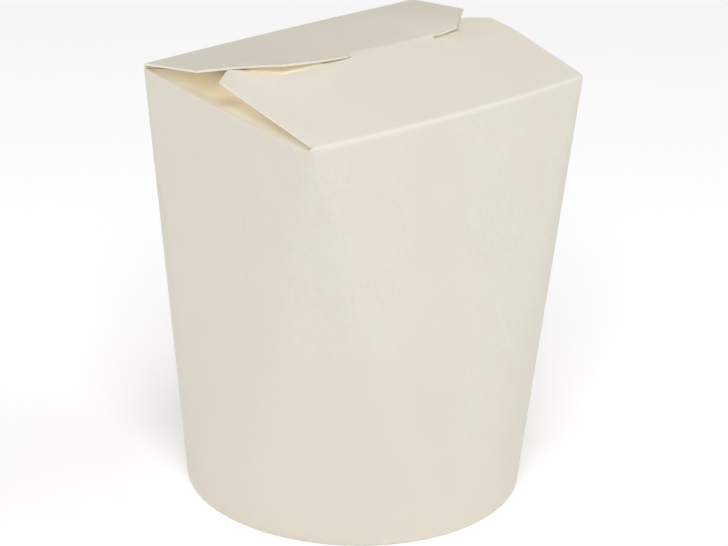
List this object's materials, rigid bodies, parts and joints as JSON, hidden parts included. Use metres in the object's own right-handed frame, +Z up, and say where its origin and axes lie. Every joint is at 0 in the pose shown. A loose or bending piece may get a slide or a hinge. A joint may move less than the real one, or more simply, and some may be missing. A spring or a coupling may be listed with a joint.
{
  "type": "noodle takeaway box",
  "caption": "Shut paperboard takeaway box with a round foot that widens to an oblong mouth, closed by folded and interlocked top flaps.",
  "frame": {"origin": "on the ground, at the middle of the round foot", "axes": "+Z up; +X along the hinges of the two main top flaps; the flap whose lip lies on top hinges at -Y, the flap it holds down hinges at +Y"},
  "size_m": [0.094, 0.0916, 0.1265],
  "materials": {
    "coated_board": "off-white paperboard with a thin satin coating"
  },
  "bodies": {
    "root": {"carton": "coated_board"}
  },
  "joints": []
}
